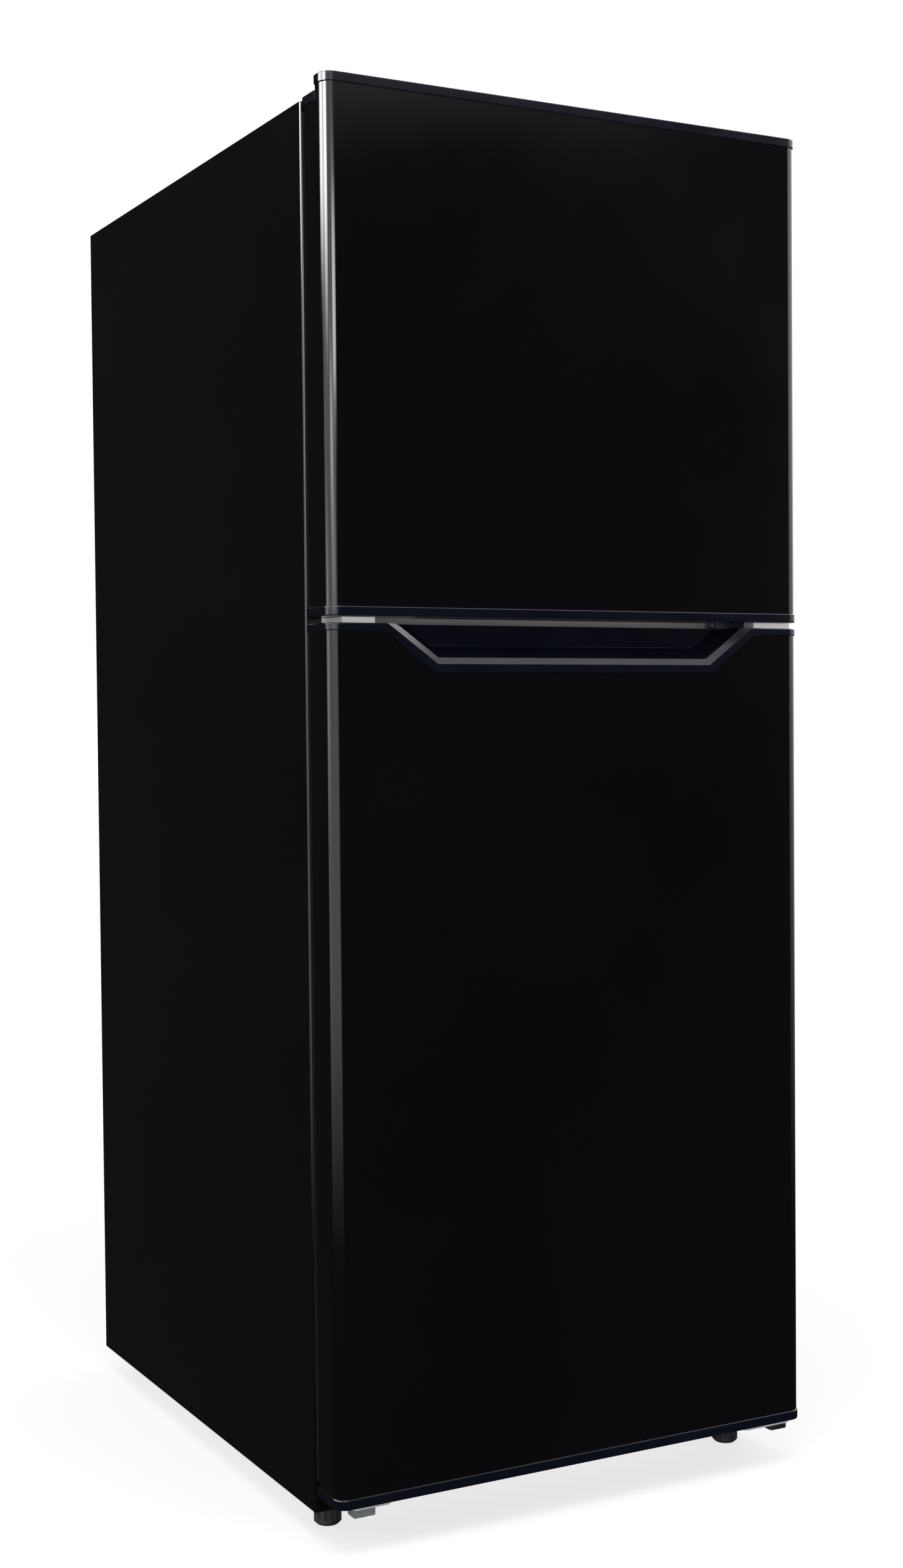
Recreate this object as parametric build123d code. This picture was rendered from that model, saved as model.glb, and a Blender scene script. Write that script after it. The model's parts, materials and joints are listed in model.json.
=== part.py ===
from build123d import *
import os
from math import atan2, cos, radians, sin, tan

# Top freezer refrigerator, free standing, in millimetres.
# Frame: +Z up, the doors face -Y and X = 0 is the middle. Z = 0 is the floor, and Y = 0 is
# halfway between the doors' front and the cabinet's back. Left and right are as seen from the front.

# ---------------------------------------------------------------- driving dimensions
WIDTH = 595.0            # over the doors' end caps
DEPTH = 740.0            # doors' front to cabinet's back
HEIGHT = 1525.0          # floor to the freezer door's top rim
DOOR_THICK = 52.0        # a door without its gasket
GASKET_GAP = 8.0         # between a closed door and the cabinet
CORNER = 14.0            # rounding of the doors' front edges
SKIN = 0.8               # painted steel of the doors and the cabinet
SKIN_INSET = 1.25        # how far a door's skin lies inside its end caps
LINER = 2.0              # plastic of the liners
SHEET = 1.0              # galvanised steel of the base

CABINET_BOTTOM = 31.0
CABINET_TOP = 1508.5
FLANGE = 18.0            # width of the cabinet's folded front flange

FREEZER_DOOR = (975.0, 1525.0)
FRIDGE_DOOR = (51.0, 968.0)
CAP_BAND = 10.0          # height of the end caps' visible band
HANDLE_BAND = 8.0        # the same on the refrigerator door's top
CAP_PLUG = 8.0           # how far an end cap reaches into its skin

HINGE_INSET = 16.0       # pin from the door's side
HINGE_BACK = 33.0        # pin from the door's front
PIN_RADIUS = 4.0
PIN_PLAY = 0.06          # radial running clearance
PLATE = 3.0              # hinge plates
AIR = 0.3                # clearance between faces that turn past each other

# ---------------------------------------------------------------- derived places
FRONT = -DEPTH / 2
DOOR_BACK = FRONT + DOOR_THICK
FACE = DOOR_BACK + GASKET_GAP            # the cabinet's front plane
BACK = DEPTH / 2
SIDE = WIDTH / 2 - 1.0                   # the cabinet's side faces
INNER_SIDE = SIDE - SKIN
RIM_SIDE = SIDE - FLANGE                 # where the flange ends and the liners begin
HINGE_X = WIDTH / 2 - HINGE_INSET
HINGE_Y = FRONT + HINGE_BACK

FREEZER_HALF, FREEZER_FLOOR, FREEZER_CEILING, FREEZER_REAR = 245.0, 1010.0, 1455.0, 312.0
FRIDGE_HALF, FRIDGE_FLOOR, FRIDGE_CEILING, FRIDGE_REAR = 250.0, 95.0, 940.0, 315.0
STEP_FRONT, STEP_TOP = 95.0, 300.0       # the liner's step over the machine compartment
MULLION = (945.0, 1005.0)
RAIL_TOP = 88.0
RAIL_DEPTH = 20.0
MACHINE_FRONT, MACHINE_TOP = 150.0, 250.0
MACHINE_FLOOR = 33.0

DYKE_DEPTH = 45.0        # raised ring on a door's liner
DYKE_WIDTH = 28.0
BIN_REAR = FRONT + 137.0  # how far a door bin reaches into the cabinet
SHELF_FRONT = -215.0

TURN = {"X": Rot(0, 90, 0), "Y": Rot(90, 0, 0), "Z": Rot(0, 0, 0)}


# ---------------------------------------------------------------- small helpers
def block(x, y, z):
    """A box from its low and high X, Y and Z."""
    spans = (x, y, z)
    middle = [(low + high) / 2 for low, high in spans]
    return Pos(*middle) * Box(*[high - low for low, high in spans])


def wide(half, y, z):
    """A box that reaches from -half to +half in X."""
    return block((-half, half), y, z)


def rod(axis, centre, length, radius):
    """A round bar along X, Y or Z."""
    return Pos(*centre) * TURN[axis] * Cylinder(radius, length)


def pin(x, y, z, radius):
    """An upright round bar between two heights."""
    return rod("Z", (x, y, (z[0] + z[1]) / 2), z[1] - z[0], radius)


def both_sides(shape):
    """A shape on the right and its mirror image on the left."""
    return shape + mirror(shape, Plane.YZ)


def side_profile(points, half):
    """A solid with this outline in Y and Z that reaches from -half to +half in X."""
    return extrude(Plane.YZ.offset(-half) * Polygon(*points, align=None), 2 * half)


def tub(x, y, z, wall, radius):
    """An open box with rounded upright edges."""
    outer = block(x, y, z)
    inner = block(*[(low + wall, high - wall) for low, high in (x, y)], (z[0] + wall, z[1] + wall))
    outer = fillet(outer.edges().filter_by(Axis.Z), radius)
    return outer - fillet(inner.edges().filter_by(Axis.Z), radius - wall)


def slots(count, pitch, size, centre):
    """A row of upright slots along X: size is width, depth and height."""
    x, y, z = centre
    return [Pos(x + (i - (count - 1) / 2) * pitch, y, z) * Box(*size) for i in range(count)]


# ---------------------------------------------------------------- cabinet
def cabinet_wrap():
    """Painted steel over both sides and the top, with the front edges folded in."""
    outer = wide(SIDE, (FACE, BACK), (CABINET_BOTTOM, CABINET_TOP))
    inner = wide(INNER_SIDE, (FACE + SKIN, BACK + 1), (CABINET_BOTTOM - 1, CABINET_TOP - SKIN))
    fold = 2.5
    outer = fillet(outer.edges().filter_by(Axis.Z).group_by(Axis.Y)[0], fold)
    inner = fillet(inner.edges().filter_by(Axis.Z).group_by(Axis.Y)[0], fold - SKIN)
    doorway = wide(RIM_SIDE, (FACE - 1, FACE + 2), (CABINET_BOTTOM - 1, CABINET_TOP - FLANGE))
    clip = 9.0
    low = CABINET_BOTTOM
    rear_corner = side_profile([(BACK - clip, low), (BACK, low + clip), (BACK + clip, low)], SIDE + 1)
    return outer - inner - doorway - rear_corner


def back_panel():
    return wide(INNER_SIDE, (BACK - SKIN, BACK), (MACHINE_TOP, CABINET_TOP - SKIN))


FOOT_X, FOOT_Y = 262.0, FACE + 45.0
STUD_RADIUS = 4.0


def base_pan():
    """Floor, riser and ceiling in one bent sheet, with a threaded boss over each front foot."""
    low, high = CABINET_BOTTOM, MACHINE_TOP
    y = MACHINE_FRONT
    start = FACE + RAIL_DEPTH
    sheet = side_profile(
        [(start, low), (y + SHEET, low), (y + SHEET, high - SHEET), (BACK - SKIN, high - SHEET),
         (BACK - SKIN, high), (y, high), (y, low + SHEET), (start, low + SHEET)],
        INNER_SIDE,
    )
    boss = pin(FOOT_X, FOOT_Y + 2, (low, low + 14), 10)
    hole = pin(FOOT_X, FOOT_Y, (low - 1, low + 20), STUD_RADIUS + PIN_PLAY)
    return sheet + both_sides(boss) - both_sides(hole) - rail_space()


def rail_space():
    return wide(RIM_SIDE, (FACE, FACE + RAIL_DEPTH), (CABINET_BOTTOM, RAIL_TOP))


def channel(z):
    """A steel channel across the front, open to the back."""
    outer = wide(RIM_SIDE, (FACE, FACE + RAIL_DEPTH), z)
    return outer - wide(RIM_SIDE, (FACE + SHEET, FACE + RAIL_DEPTH + 1), (z[0] + SHEET, z[1] - SHEET))


def front_bottom_rail():
    return channel((CABINET_BOTTOM, RAIL_TOP))


def mullion_bar():
    return channel(MULLION)


def freezer_space(grow=0.0):
    return wide(
        FREEZER_HALF + grow, (FACE - 5, FREEZER_REAR + grow), (FREEZER_FLOOR - grow, FREEZER_CEILING + grow)
    )


def fridge_space(grow=0.0):
    front = FACE - 5
    rear = FRIDGE_REAR + grow
    floor, ceiling = FRIDGE_FLOOR - grow, FRIDGE_CEILING + grow
    step_y, step_z = STEP_FRONT + grow, STEP_TOP - grow
    outline = [
        (front, floor), (step_y, floor), (step_y, step_z),
        (rear, step_z), (rear, ceiling), (front, ceiling),
    ]
    return side_profile(outline, FRIDGE_HALF + grow)


def liner(space, grown, flange_z, rounding):
    """A moulded box with a flat rim that fills the cabinet's doorway."""
    shell = grown & wide(SIDE, (FACE, BACK), (0, HEIGHT))
    rim = wide(RIM_SIDE, (FACE, FACE + LINER), flange_z)
    hollow = fillet(space.edges().filter_by(Axis.Y), rounding)
    return shell + rim - hollow


def ledges(half, y, z_top):
    """Ribs on both side walls that a shelf or a drawer rests on."""
    return both_sides(block((half - 12, half), y, (z_top - 5, z_top)))


FREEZER_SHELF_Z = 1228.0
UPPER_SHELF_Z, LOWER_SHELF_Z, CRISPER_COVER_Z = 705.0, 490.0, 303.0
DRAWER_LEDGE_Z = 272.0
EVAPORATOR_COVER_Y = 250.0


def freezer_liner():
    shell = liner(freezer_space(), freezer_space(LINER), (MULLION[1], CABINET_TOP - FLANGE), 12)
    return shell + ledges(FREEZER_HALF, (-230, EVAPORATOR_COVER_Y), FREEZER_SHELF_Z)


def fridge_liner():
    shell = liner(fridge_space(), fridge_space(LINER), (RAIL_TOP, MULLION[0]), 12)
    for z in (UPPER_SHELF_Z, LOWER_SHELF_Z):
        shell += ledges(FRIDGE_HALF, (SHELF_FRONT, FRIDGE_REAR), z)
    shell += ledges(FRIDGE_HALF, (SHELF_FRONT, STEP_FRONT), CRISPER_COVER_Z)
    return shell + ledges(FRIDGE_HALF, (-250, STEP_FRONT), DRAWER_LEDGE_Z)


def cabinet_foam(*neighbours):
    """Insulation that fills everything between the sheets and the liners."""
    front = FACE + LINER
    body = wide(INNER_SIDE, (front, BACK - SKIN), (CABINET_BOTTOM + SHEET, CABINET_TOP - SKIN))
    machine = wide(SIDE, (MACHINE_FRONT, BACK), (0, MACHINE_TOP))
    stud_ways = both_sides(pin(FOOT_X, FOOT_Y, (CABINET_BOTTOM, CABINET_BOTTOM + 45), STUD_RADIUS + 2))
    body -= [machine, freezer_space(LINER), fridge_space(LINER), stud_ways]
    return body - list(neighbours)


# ---------------------------------------------------------------- hinges and what sits beside them
TOP_SHIM = 1.8
TOP_PLATE = (CABINET_TOP + TOP_SHIM, CABINET_TOP + TOP_SHIM + PLATE)
TOP_SCREWS = [(212, -292), (212, -262), (250, -262)]
TOP_PLATE_X = (200.0, 264.0)
TOP_PLATE_BACK = -248.0
TOP_ARM_HALF = 8.5
CENTRE_LEAF = (970.0, 973.0)
CENTRE_PLATE_X = (208.0, 277.0)
CENTRE_PLATE = (961.0, 982.0)
CENTRE_SCREWS = [215.5, 245.5]
CENTRE_SCREW_Z = 973.5
DOOR_GAP = (FRIDGE_DOOR[1] + AIR, FREEZER_DOOR[0] - AIR)
BLOCK_FRONT = FRONT + 10.0
BLOCK_INNER, BLOCK_OUTER = 240.0, 291.0  # the pale blocks beside the gap, from the middle
FILLER_WIDTH = 38.0
LEAF_X = (264.0, HINGE_X + 6.0)
LEAF_Y = HINGE_Y - 12.0
BOTTOM_LEAF = (42.0, 45.0)
BOTTOM_LEAF_X = (228.0, 294.0)
LEFT_LEAF_X = (-272.0, -226.0)
BOTTOM_FLANGE_LOW = 32.5                 # the flange hangs below the leaf, clear of the turning door
BOTTOM_SCREWS = [236.0, 262.0]
BOTTOM_SCREW_Z = 37.0
LEAF_FRONT = FRONT + 18.0
SCREW_RADIUS = 2.5
HEAD_RADIUS = 4.6
HEAD_HEIGHT = 2.6


def top_hinge():
    """Plate on the cabinet, shim under it, and an arm that leans inwards from the pin."""
    z0, z1 = TOP_PLATE
    end = TOP_ARM_HALF
    plate_left, plate_front, arm_back = TOP_PLATE_X[0], FACE + 1, FACE + 20
    plate = block(TOP_PLATE_X, (plate_front, TOP_PLATE_BACK), TOP_PLATE)
    lean = radians(45)
    edge = (HINGE_X + end * cos(lean), HINGE_Y + end * sin(lean))
    run = arm_back - edge[1]
    outline = Polygon(
        (HINGE_X - end, HINGE_Y), edge, (edge[0] - run * tan(lean), arm_back),
        (plate_left, arm_back), (plate_left, plate_front), align=None,
    )
    arm = extrude(Pos(0, 0, z0) * outline, z1 - z0) + pin(HINGE_X, HINGE_Y, TOP_PLATE, end)
    shim = block(TOP_PLATE_X, (plate_front, TOP_PLATE_BACK), (CABINET_TOP, z0))
    hinge = plate + arm + shim + pin(HINGE_X, HINGE_Y, (z0 - 17, z1), PIN_RADIUS)
    return hinge - [pin(x, y, (CABINET_TOP - 1, z1 + 1), SCREW_RADIUS) for x, y in TOP_SCREWS]


def top_hinge_cover():
    """Moulded cover over the plate, with a mouth for the arm."""
    z = (CABINET_TOP, HEIGHT - 2)
    wall, room = 2.0, 4.0
    left, right = TOP_PLATE_X[0] - room, TOP_PLATE_X[1] + room
    front, back = FACE + 0.4, TOP_PLATE_BACK + room
    outer = block((left - wall, right + wall), (front, back + wall), z)
    outer = fillet(outer.edges().group_by(Axis.Z)[-1] + outer.edges().filter_by(Axis.Z), 3)
    inner = block((left, right), (front + wall, back), (z[0] - 1, z[1] - wall))
    mouth = block((left + wall, right), (front - 1, front + 2 * wall), (z[0] - 1, TOP_PLATE[1] + 1))
    return outer - inner - mouth


def centre_hinge():
    """Plate screwed to the mullion, leaf between the doors and a pin up and down."""
    plate = block(CENTRE_PLATE_X, (FACE - 2, FACE), CENTRE_PLATE)
    leaf = block(LEAF_X, (LEAF_Y, FACE - 2), CENTRE_LEAF)
    leaf = fillet(leaf.edges().filter_by(Axis.Z).group_by(Axis.Y)[0], 5)
    shaft = pin(HINGE_X, HINGE_Y, (FRIDGE_DOOR[1] - 15, FREEZER_DOOR[0] + 14), PIN_RADIUS)
    holes = [rod("Y", (x, FACE, CENTRE_SCREW_Z), 10, SCREW_RADIUS) for x in CENTRE_SCREWS]
    return plate + leaf + shaft - holes


def centre_hinge_cover():
    """Pale moulded block around the leaf, as thick as the gap between the doors."""
    front_part = 19.0
    body = block((LEAF_X[0] - 2, BLOCK_OUTER), (BLOCK_FRONT, FACE - 2.2), DOOR_GAP)
    body += block((BLOCK_INNER, BLOCK_OUTER), (BLOCK_FRONT, BLOCK_FRONT + front_part), DOOR_GAP)
    body = fillet(body.edges().filter_by(Axis.Z).group_by(Axis.Y)[0], 1.5)
    play = 0.1
    slot_x = (LEAF_X[0] - play, LEAF_X[1] + play)
    slot_z = (CENTRE_LEAF[0] - play, CENTRE_LEAF[1] + play)
    slot = block(slot_x, (LEAF_Y - play, FACE), slot_z)
    return body - slot - pin(HINGE_X, HINGE_Y, DOOR_GAP, PIN_RADIUS + play)


def unused_hinge_filler():
    """The same pale block on the side without a hinge, pushed onto the mullion."""
    body = block((-BLOCK_INNER - FILLER_WIDTH, -BLOCK_INNER), (BLOCK_FRONT, FACE), DOOR_GAP)
    return fillet(body.edges().filter_by(Axis.Z).group_by(Axis.Y)[0], 1.5)


def front_bracket(x, screws_at):
    """Flange on the bottom rail with a leaf that reaches forward under the door."""
    flange = block(x, (FACE - PLATE, FACE), (BOTTOM_FLANGE_LOW, BOTTOM_LEAF[1]))
    leaf = block(x, (LEAF_FRONT, FACE), BOTTOM_LEAF)
    leaf = fillet(leaf.edges().filter_by(Axis.Z).group_by(Axis.Y)[0], 7)
    return flange + leaf - [rod("Y", (s, FACE, BOTTOM_SCREW_Z), 10, SCREW_RADIUS) for s in screws_at]


def bottom_hinge():
    bracket = front_bracket(BOTTOM_LEAF_X, BOTTOM_SCREWS)
    return bracket + pin(HINGE_X, HINGE_Y, (BOTTOM_LEAF[0], FRIDGE_DOOR[0] + 15), PIN_RADIUS)


def bottom_hinge_boss():
    """Moulded boss that holds the pin under the leaf."""
    body = block((268, 291), (FRONT + 21, FRONT + 44), (35, BOTTOM_LEAF[0]))
    return fillet(body.edges().filter_by(Axis.Z), 3)


def left_stop_bracket():
    return front_bracket(LEFT_LEAF_X, [-BOTTOM_SCREWS[0]])


def left_stop_block():
    """Moulded door stop clipped under the left bracket."""
    body = block((-270, -245), (FRONT + 20, FRONT + 38), (33, BOTTOM_LEAF[0]))
    return fillet(body.edges().filter_by(Axis.Z), 2)


def pan_head(centre, axis, length):
    """A screw whose domed head lies on the near side of the point given."""
    head = extrude(Circle(HEAD_RADIUS), HEAD_HEIGHT)
    head = fillet(head.edges().group_by(Axis.Z)[-1], 1.4) - Pos(0, 0, HEAD_HEIGHT) * Box(5, 1, 1.6)
    head -= Pos(0, 0, HEAD_HEIGHT) * Box(1, 5, 1.6)
    shank = Pos(0, 0, -length / 2) * Cylinder(SCREW_RADIUS - 0.1, length)
    return Pos(*centre) * axis * (head + shank)


def hinge_screws():
    """All the screws that hold the hinges and the left bracket."""
    down = Rot(0, 0, 0)
    ahead = Rot(90, 0, 0)
    screws = [pan_head((x, y, TOP_PLATE[1]), down, PLATE + TOP_SHIM) for x, y in TOP_SCREWS]
    screws += [pan_head((x, FACE - 2, CENTRE_SCREW_Z), ahead, 2) for x in CENTRE_SCREWS]
    for x in (*BOTTOM_SCREWS, -BOTTOM_SCREWS[0]):
        screws.append(pan_head((x, FACE - PLATE, BOTTOM_SCREW_Z), ahead, PLATE))
    return Compound(screws)


# ---------------------------------------------------------------- feet and rollers
FOOT_RADIUS = 15.0
FOOT_HEIGHT = CABINET_BOTTOM - 0.5
FOOT_RIBS = 12
RIB_GROOVE_RADIUS = 1.8
ROLLER_RADIUS = 15.5
ROLLER_X, ROLLER_Y = 255.0, 325.0
ROLLER_WIDTH = 14.0
AXLE_RADIUS = 3.0


def front_foot(side):
    """Ribbed levelling foot on a threaded stud."""
    x = side * FOOT_X
    knob = Cylinder(FOOT_RADIUS, FOOT_HEIGHT, align=(Align.CENTER, Align.CENTER, Align.MIN))
    knob = chamfer(knob.edges().group_by(Axis.Z)[0], 3)
    groove = Pos(FOOT_RADIUS + 0.5, 0, FOOT_HEIGHT / 2 + 6) * Cylinder(RIB_GROOVE_RADIUS, FOOT_HEIGHT)
    knob -= [Rot(0, 0, 360 / FOOT_RIBS * i) * groove for i in range(FOOT_RIBS)]
    stud = pin(0, 0, (FOOT_HEIGHT, FOOT_HEIGHT + 36), STUD_RADIUS)
    return Pos(x, FOOT_Y, 0) * (knob + stud)


def compressor_base():
    """Channel plate across the machine compartment, with the rollers' ears and axles."""
    sheet = wide(INNER_SIDE, (MACHINE_FRONT + SHEET, BACK - 6), (MACHINE_FLOOR, MACHINE_FLOOR + 2))
    lip = wide(INNER_SIDE, (BACK - 8, BACK - 6), (MACHINE_FLOOR, MACHINE_FLOOR + 14))
    gap = ROLLER_WIDTH / 2 + 0.5
    ears = []
    for offset in (-gap - 2, gap):
        x = (ROLLER_X + offset, ROLLER_X + offset + 2)
        ears.append(block(x, (ROLLER_Y - 11, ROLLER_Y + 11), (ROLLER_RADIUS - 7, MACHINE_FLOOR)))
    axle = rod("X", (ROLLER_X, ROLLER_Y, ROLLER_RADIUS), ROLLER_WIDTH + 8, AXLE_RADIUS)
    return sheet + lip + [both_sides(ear) for ear in ears] + both_sides(axle)


def rear_roller(side):
    centre = (side * ROLLER_X, ROLLER_Y, ROLLER_RADIUS)
    wheel = rod("X", centre, ROLLER_WIDTH, ROLLER_RADIUS)
    wheel = fillet(wheel.edges().filter_by(GeomType.CIRCLE), 1.5)
    return wheel - rod("X", centre, ROLLER_WIDTH + 2, AXLE_RADIUS + PIN_PLAY)


# ---------------------------------------------------------------- machine compartment
COMPRESSOR_X, COMPRESSOR_Y = -60.0, 258.0
CAN_RADIUS = 68.0
CAN_Z = (50.0, 200.0)
SEAM_Z = (128.0, 134.0)
GROMMET_X, GROMMET_Y = 88.0, 62.0
FOOT_MARGIN = 16.0       # the foot plate past its grommets


def grommet_places():
    return [(COMPRESSOR_X + i * GROMMET_X, COMPRESSOR_Y + j * GROMMET_Y) for i in (-1, 1) for j in (-1, 1)]


def compressor():
    """Welded steel can on a foot plate, with its three tube stubs."""
    can = fillet(pin(COMPRESSOR_X, COMPRESSOR_Y, CAN_Z, CAN_RADIUS).edges().filter_by(GeomType.CIRCLE), 28)
    seam = pin(COMPRESSOR_X, COMPRESSOR_Y, SEAM_Z, CAN_RADIUS + 3)
    plate_half = (GROMMET_X + FOOT_MARGIN, GROMMET_Y + FOOT_MARGIN)
    plate = block(
        (COMPRESSOR_X - plate_half[0], COMPRESSOR_X + plate_half[0]),
        (COMPRESSOR_Y - plate_half[1], COMPRESSOR_Y + plate_half[1]), (CAN_Z[0] - 3, CAN_Z[0] + 1),
    )
    plate = fillet(plate.edges().filter_by(Axis.Z), 14)
    side = COMPRESSOR_X + CAN_RADIUS
    terminal = block((side - 8, side + 30), (COMPRESSOR_Y - 28, COMPRESSOR_Y + 28), (78, SEAM_Z[0] - 2))
    terminal = fillet(terminal.edges().filter_by(Axis.X), 5)
    body = can + seam + plate + terminal
    return body - [pin(x, y, (0, CAN_Z[0] + 5), 4) for x, y in grommet_places()]


def compressor_grommets():
    """Rubber feet between the plate and the base, each on its steel peg."""
    z = (MACHINE_FLOOR + 2, CAN_Z[0] - 3)
    return Compound([pin(x, y, z, 11) + pin(x, y, (z[0], z[1] + 8), 3.8) for x, y in grommet_places()])


def evaporation_pan():
    return tub((COMPRESSOR_X - 95, COMPRESSOR_X + 95), (178, 340), (CAN_Z[1] + 1, 236), 2, 14)


def pipe(points, radius, bend):
    """A tube along straight runs joined by bends."""
    path = FilletPolyline(*points, radius=bend)
    return sweep(Plane(origin=path @ 0, z_dir=path % 0) * Circle(radius), path)


def refrigerant_pipes():
    """Suction and discharge tubes with the filter drier, beside the compressor."""
    start, top = 40, MACHINE_TOP - 8
    x, y, z = 95, 215, 70
    suction = pipe([(start, y, z), (x, y, z), (x, y, top)], 4, 18)
    x, y, z = 150, 300, 60
    discharge = pipe([(start, y, z), (x, y, z), (x, y, top)], 3, 18)
    x, y, low, high = 200, 290, 90, 190
    drier = fillet(pin(x, y, (low, high), 12).edges().filter_by(GeomType.CIRCLE), 7)
    turn, return_y = 225, 215
    capillary = pipe([(x, y, high - 2), (x, y, turn), (x, return_y, turn), (x, return_y, top)], 2.2, 10)
    inlet = pin(x, y, (62, low + 4), 3)
    return Compound([suction, discharge, drier + capillary + inlet])


def rear_cover():
    """Pressed cover over the machine compartment, with rows of vents."""
    y = (BACK - 5, BACK - 3.8)
    panel = wide(SIDE - 8, y, (44, MACHINE_TOP - 3))
    for z in (95, 155, 215):
        panel -= slots(24, 16, (6, 6, 42), (-40, BACK - 4.4, z))
    return panel - rod("Y", (GLAND_X, BACK - 4.4, GLAND_Z), 10, GLAND_RADIUS)


GLAND_X, GLAND_Z, GLAND_RADIUS = 245.0, 80.0, 8.0


def mains_inlet_gland():
    """Bush that the supply lead enters through."""
    barrel = rod("Y", (GLAND_X, BACK - 7, GLAND_Z), 14, GLAND_RADIUS)
    collar = rod("Y", (GLAND_X, BACK - 1.9, GLAND_Z), 3.8, GLAND_RADIUS + 4)
    return barrel + collar - rod("Y", (GLAND_X, BACK - 7, GLAND_Z), 16, 4)


# ---------------------------------------------------------------- inside the freezer
FAN_Z = 1335.0
COIL_Y = 284.0
COIL_Z = (1050.0, 1230.0)
TUBE_ROWS = [1070.0, 1118.0, 1166.0, 1214.0]


def evaporator():
    """Finned coil: plates on four rows of tube."""
    fins = [block((x, x + 1), (COIL_Y - 20, COIL_Y + 20), COIL_Z) for x in range(-190, 191, 20)]
    tubes = [rod("X", (0, COIL_Y, z), 410, 4) for z in TUBE_ROWS]
    bends = [block((-205, -199), (COIL_Y - 4, COIL_Y + 4), (TUBE_ROWS[0], TUBE_ROWS[-1]))]
    return Part() + fins + tubes + bends


def evaporator_cover():
    """Moulded panel in front of the coil, with the fan's outlet, return vents and a slider slot."""
    panel = wide(FREEZER_HALF - 1.5, (EVAPORATOR_COVER_Y, EVAPORATOR_COVER_Y + 2.5), (1022, 1443))
    middle = EVAPORATOR_COVER_Y + 1
    panel -= slots(15, 12, (5, 6, 70), (0, middle, FAN_Z))
    panel -= slots(25, 16, (7, 6, 22), (0, middle, 1042))
    return panel - Pos(0, middle, SLIDER_Z) * Box(70, 6, 5)


SLIDER_Z = 1262.0


def airflow_slider():
    """Knob in front of the panel and a tongue behind it, joined through the slot."""
    knob = wide(9, (EVAPORATOR_COVER_Y - 9, EVAPORATOR_COVER_Y - AIR), (SLIDER_Z - 8, SLIDER_Z + 8))
    knob = fillet(knob.edges().filter_by(Axis.Y), 3)
    neck = wide(5, (EVAPORATOR_COVER_Y - 1, EVAPORATOR_COVER_Y + 4), (SLIDER_Z - 2, SLIDER_Z + 2))
    tongue = wide(40, (EVAPORATOR_COVER_Y + 2.8, EVAPORATOR_COVER_Y + 4.5), (SLIDER_Z - 7, SLIDER_Z + 7))
    return knob + neck + tongue


def fan_motor():
    motor = rod("Y", (0, 297, FAN_Z), 30, 26)
    shaft = rod("Y", (0, 276, FAN_Z), 16, 3)
    arms = wide(60, (300, 304), (FAN_Z - 6, FAN_Z + 6))
    return motor + shaft + arms


def evaporator_fan():
    """Five pitched blades on a hub that runs on the motor's shaft."""
    hub = Cylinder(13, 12) - Cylinder(3 + PIN_PLAY, 20)
    blade = Pos(30, 0, 0) * Rot(28, 0, 0) * Box(38, 22, 1.5)
    fan = hub + [Rot(0, 0, 72 * i) * blade for i in range(5)]
    return Pos(0, 271, FAN_Z) * Rot(90, 0, 0) * fan


def freezer_shelf():
    """Wire shelf: thin wires on three cross bars."""
    y = (SHELF_FRONT, EVAPORATOR_COVER_Y - 12)
    z = FREEZER_SHELF_Z + 3
    inset = 8.0
    places = (y[0] + inset, (y[0] + y[1]) / 2, y[1] - inset)
    bars = [rod("X", (0, place, z), 2 * FREEZER_HALF - 4, 3) for place in places]
    wires = [rod("Y", (x, (y[0] + y[1]) / 2, z + 2.5), y[1] - y[0], 1.8) for x in range(-230, 231, 23)]
    return Part() + bars + wires


# ---------------------------------------------------------------- inside the refrigerator
GLASS = 4.0
SHELF_HALF = FRIDGE_HALF - 3.0


def shelf_glass(z, rear):
    return wide(SHELF_HALF - 2, (SHELF_FRONT + 3, rear - 3), (z + 1, z + 1 + GLASS))


def shelf_glasses():
    """The two shelves' glass plates and the drawer's cover glass."""
    return Compound([shelf_glass(z, rear) for z, rear in SHELVES])


def shelf_trims():
    """White rails along the front and the back edge of each glass."""
    trims = []
    for z, rear in SHELVES:
        for y0, y1 in ((SHELF_FRONT - 6, SHELF_FRONT + 14), (rear - 14, rear)):
            rail = wide(SHELF_HALF, (y0, y1), (z, z + GLASS + 4))
            rail = fillet(rail.edges().filter_by(Axis.X).group_by(Axis.Z)[-1], 2)
            trims.append(rail - shelf_glass(z, rear))
    return Compound(trims)


SHELVES = [(UPPER_SHELF_Z, 296.0), (LOWER_SHELF_Z, 296.0), (CRISPER_COVER_Z, STEP_FRONT - 2)]
DRAWER_TRAVEL_Z = DRAWER_LEDGE_Z + AIR


def crisper_drawer():
    """Clear drawer whose side flanges run on the liner's lower ledges."""
    y = (SHELF_FRONT - 3, STEP_FRONT - 8)
    body = tub((-228, 228), y, (103, 292), 2.5, 12)
    flanges = both_sides(block((228 - 1, FRIDGE_HALF - 3), y, (DRAWER_TRAVEL_Z, DRAWER_TRAVEL_Z + 3)))
    grip = wide(90, (y[0] - 9, y[0] + 1), (262, 268))
    return body + flanges + fillet(grip.edges().filter_by(Axis.Z).group_by(Axis.Y)[0], 4)


CONTROL_Y = (-205.0, -60.0)
CONTROL_Z = (892.0, FRIDGE_CEILING)
KNOB_X, KNOB_Z = -70.0, 916.0
LAMP_X = (10.0, 105.0)
LAMP_DEPTH, LAMP_HEIGHT = 80.0, 30.0
SWITCH_X, SWITCH_Z = 205.0, 915.0
SWITCH_Y = (-255.0, -222.0)
PLUNGER_RADIUS = 5.0


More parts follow.
